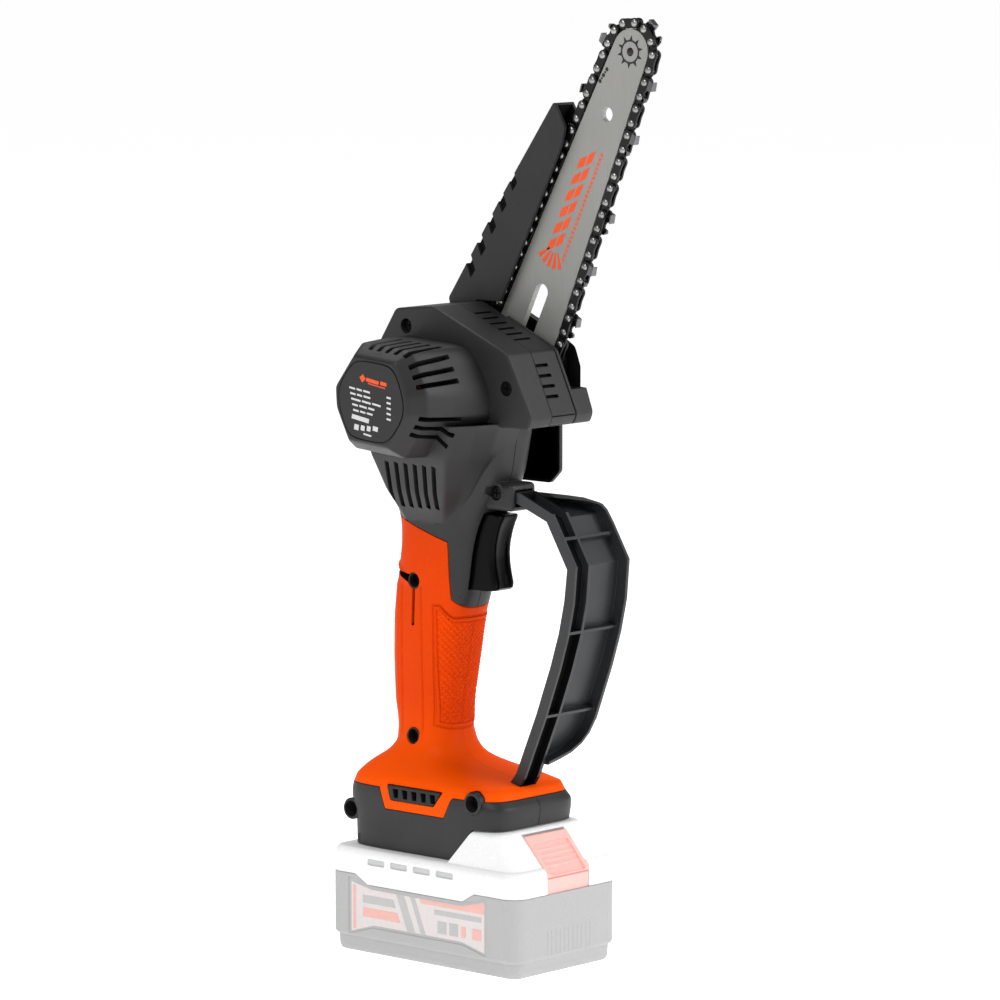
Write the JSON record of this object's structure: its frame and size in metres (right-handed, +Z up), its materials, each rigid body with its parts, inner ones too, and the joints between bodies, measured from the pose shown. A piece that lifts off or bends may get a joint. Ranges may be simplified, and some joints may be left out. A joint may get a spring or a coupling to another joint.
{
  "type": "chainsaw",
  "caption": "Cordless one-hand pruning chainsaw with a short guide bar and chain, ribbed hand guard, pistol grip and slide-on battery pack as its base.",
  "frame": {"origin": "centre of the flat underside of the battery pack, on which the tool stands", "axes": "+Z up, +X forward from the grip towards the hand guard, the way the bar leans, +Y to the tool's left, where the bar and chain run"},
  "size_m": [0.1517, 0.1075, 0.4466],
  "materials": {
    "dark_nylon": "fine satin grain, dark grey",
    "orange_nylon": "fine satin grain, orange",
    "black_plastic": "gloss black",
    "bar_steel": "satin, lengthwise grain",
    "bright_steel": "plain machined steel",
    "chain_steel": "oiled, dark",
    "plate_black": "matt black label plate",
    "copper": "enamelled copper windings on the armature",
    "board_green": "printed board",
    "pack_white": "fine satin grain, near white",
    "pack_grey": "fine satin grain, light grey",
    "latch_pink": "satin, pale salmon",
    "cell_wrap": "shrink wrap round the cells"
  },
  "bodies": {
    "tool": {"bar_stud": "bright_steel", "bearing_drive": "bright_steel", "bearing_motor_front": "bright_steel", "controller_board": "board_green", "foot_left": "dark_nylon", "foot_right": "dark_nylon", "gearbox_plate": "bright_steel", "grip_left": "orange_nylon", "grip_right": "orange_nylon", "guard_pin": "bright_steel", "hand_guard": "dark_nylon", "housing_left": "dark_nylon", "housing_right": "dark_nylon", "motor_can": "bright_steel", "oil_tank": "pack_white", "rating_plate": "plate_black", "screw_boss": "chain_steel", "screw_foot_1": "chain_steel", "screw_foot_2": "chain_steel", "screw_grip_low": "chain_steel", "screw_grip_top": "chain_steel", "screw_head_front": "chain_steel", "screw_head_rear": "chain_steel", "sprocket_cover": "dark_nylon", "terminal_block": "black_plastic", "trigger_switch": "black_plastic", "vent_grille_left": "black_plastic", "vent_grille_right": "black_plastic"},
    "battery": {"battery_case": "pack_grey", "battery_top": "pack_white", "cell_row_lower": "cell_wrap", "cell_row_upper": "cell_wrap", "battery_board": "board_green", "battery_label": "pack_white"},
    "latch": {"battery_latch": "latch_pink"},
    "trigger_body": {"trigger": "black_plastic"},
    "lock_off": {"lock_off_button": "black_plastic"},
    "guard": {"chain_guard": "dark_nylon"},
    "bar": {"guide_bar": "bar_steel", "nose_rivet": "bright_steel", "saw_chain": "chain_steel", "tension_block": "chain_steel"},
    "nose": {"nose_sprocket": "chain_steel"},
    "tension": {"tension_screw": "bright_steel"},
    "drive": {"reduction_gear": "bright_steel", "output_shaft": "bright_steel", "drive_sprocket": "bright_steel", "sprocket_clip": "chain_steel"},
    "rotor": {"motor_armature": "copper", "motor_fan": "black_plastic", "motor_pinion": "bright_steel"},
    "knob": {"cover_knob": "black_plastic"},
    "cap": {"oil_cap": "orange_nylon"}
  },
  "joints": [
    {"name": "trigger_pull", "type": "slide", "parent": "tool", "child": "trigger_body", "axis": [-1, 0, 0], "range_m": [0, 0.006], "stiffness_N_per_m": 300, "springref_m": -0.008},
    {"name": "lock_off_push", "type": "slide", "parent": "tool", "child": "lock_off", "axis": [0, -1, 0], "range_m": [0, 0.0025], "stiffness_N_per_m": 200, "springref_m": -0.004},
    {"name": "battery_slide", "type": "slide", "parent": "tool", "child": "battery", "axis": [1, 0, 0], "range_m": [0, 0.09]},
    {"name": "latch_press", "type": "slide", "parent": "battery", "child": "latch", "axis": [-1, 0, 0], "range_m": [0, 0.003], "stiffness_N_per_m": 400, "springref_m": -0.004},
    {"name": "chain_guard_swing", "type": "hinge", "parent": "tool", "child": "guard", "pos_m": [-0.022, 0.0245, 0.299], "axis": [0, -1, 0], "range_deg": [0, 25], "stiffness_Nm_per_rad": 0.15, "springref_deg": -17.19},
    {"name": "bar_tension_slide", "type": "slide", "parent": "tool", "child": "bar", "axis": [-0.4305, 0, -0.9026], "range_m": [0, 0.0035]},
    {"name": "tension_screw_turn", "type": "hinge", "parent": "tool", "child": "tension", "pos_m": [0.00661, 0.0196, 0.25772], "axis": [-0.4305, 0, -0.9026], "range_deg": [0, 1805]},
    {"name": "nose_sprocket_spin", "type": "hinge", "parent": "bar", "child": "nose", "pos_m": [0.0768, 0.0245, 0.4281], "axis": [0, 1, 0], "continuous": true},
    {"name": "drive_spin", "type": "hinge", "parent": "tool", "child": "drive", "pos_m": [-0.0068, 0.0245, 0.25283], "axis": [0, 1, 0], "continuous": true},
    {"name": "motor_spin", "type": "hinge", "parent": "tool", "child": "rotor", "pos_m": [-0.01, -0.026, 0.267], "axis": [0, 1, 0], "continuous": true},
    {"name": "knob_turn", "type": "hinge", "parent": "tool", "child": "knob", "pos_m": [0.00878, 0.0345, 0.28549], "axis": [0, 1, 0], "continuous": true},
    {"name": "oil_cap_turn", "type": "hinge", "parent": "tool", "child": "cap", "pos_m": [-0.0496, 0.0072, 0.273], "axis": [-1, 0, 0], "range_deg": [0, 360]}
  ],
  "couplings": [
    {"joint": "motor_spin", "follows": "drive_spin", "ratio": -3.5},
    {"joint": "tension_screw_turn", "follows": "bar_tension_slide", "rad_per_m": 8976}
  ]
}
